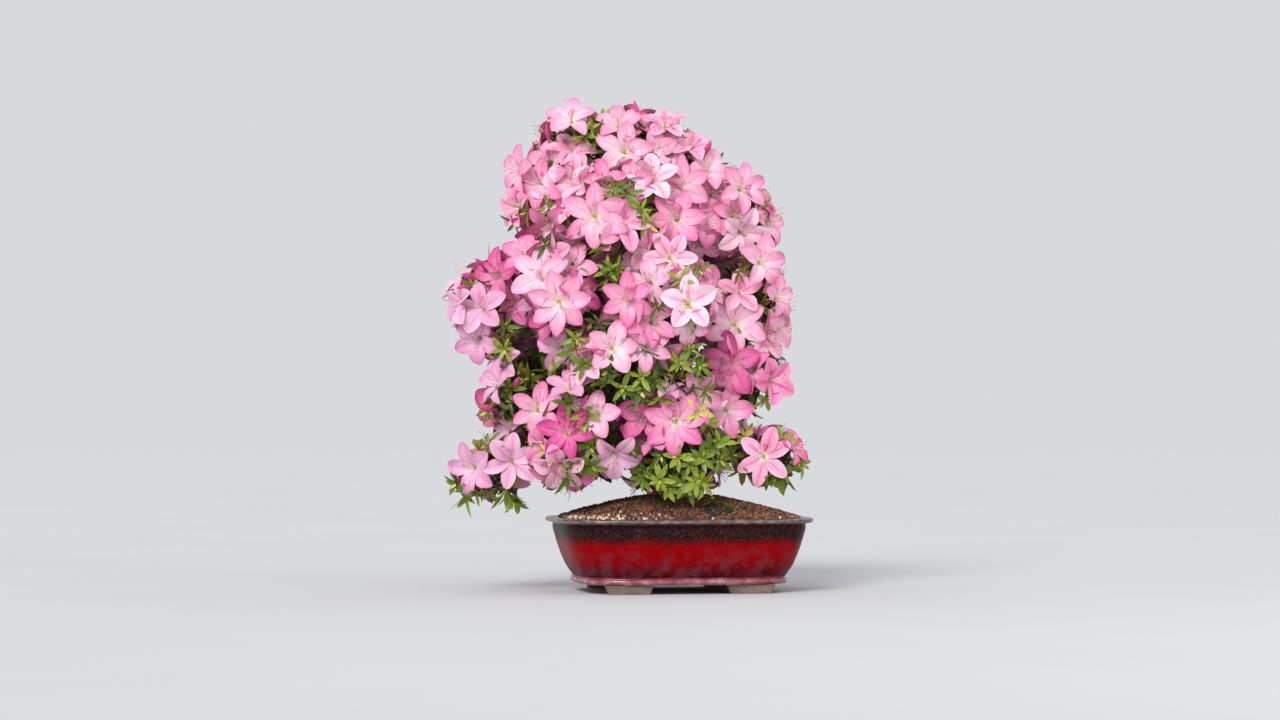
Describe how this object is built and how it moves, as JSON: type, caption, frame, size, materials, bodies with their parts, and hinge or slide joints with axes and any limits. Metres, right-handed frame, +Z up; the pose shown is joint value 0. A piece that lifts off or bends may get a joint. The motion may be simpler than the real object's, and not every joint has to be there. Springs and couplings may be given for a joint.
{
  "type": "potted azalea bonsai",
  "caption": "Azalea in full pink bloom, trained as a small leaning tree with layered foliage, in a shallow red-glazed pot on bare clay feet.",
  "frame": {"origin": "middle of the whole plant's box, on the ground under the pot's feet", "axes": "+Z up, +X along the pot's long side to the right of the front view, -Y towards the front"},
  "size_m": [0.4118, 0.3188, 0.5614],
  "materials": {
    "glaze": "glossy red glaze",
    "bare_clay": "unglazed, rough",
    "soil": "loose baked clay grains",
    "bark": "rough bark",
    "blossom": "soft petals",
    "leaf": "satin leaves"
  },
  "bodies": {
    "root": {"pot": "glaze", "soil": "soil", "foot_front_left": "bare_clay", "foot_back_left": "bare_clay", "foot_front_right": "bare_clay", "foot_back_right": "bare_clay", "trunk": "bark", "bough_top_left": "bark", "bough_top_back": "bark", "bough_crown_left": "bark", "bough_crown_front": "bark", "bough_crown_right": "bark", "bough_left_arm": "bark", "bough_middle_front_left": "bark", "bough_middle_front_right": "bark", "bough_middle_right": "bark", "bough_middle_back_left": "bark", "bough_middle_back_right": "bark", "bough_lower_left": "bark", "bough_lower_front": "bark", "bough_lower_middle": "bark", "bough_lower_right": "bark", "bough_lower_back": "bark", "bough_bottom_left": "bark", "bough_bottom_middle": "bark", "bough_bottom_front": "bark", "bough_bottom_right": "bark", "bough_bottom_back": "bark", "foliage_top_left": "blossom", "foliage_top_right": "blossom", "foliage_top_back": "blossom", "foliage_crown_left": "blossom", "foliage_crown_front": "blossom", "foliage_crown_right": "blossom", "foliage_left_arm": "blossom", "foliage_middle_front_left": "blossom", "foliage_middle_front_right": "blossom", "foliage_middle_right": "blossom", "foliage_middle_back_left": "blossom", "foliage_middle_back_right": "blossom", "foliage_lower_left": "blossom", "foliage_lower_front": "blossom", "foliage_lower_middle": "blossom", "foliage_lower_right": "blossom", "foliage_lower_back": "blossom", "foliage_bottom_left": "blossom", "foliage_bottom_middle": "blossom", "foliage_bottom_front": "leaf", "foliage_bottom_right": "blossom", "foliage_bottom_back": "blossom"}
  },
  "joints": []
}
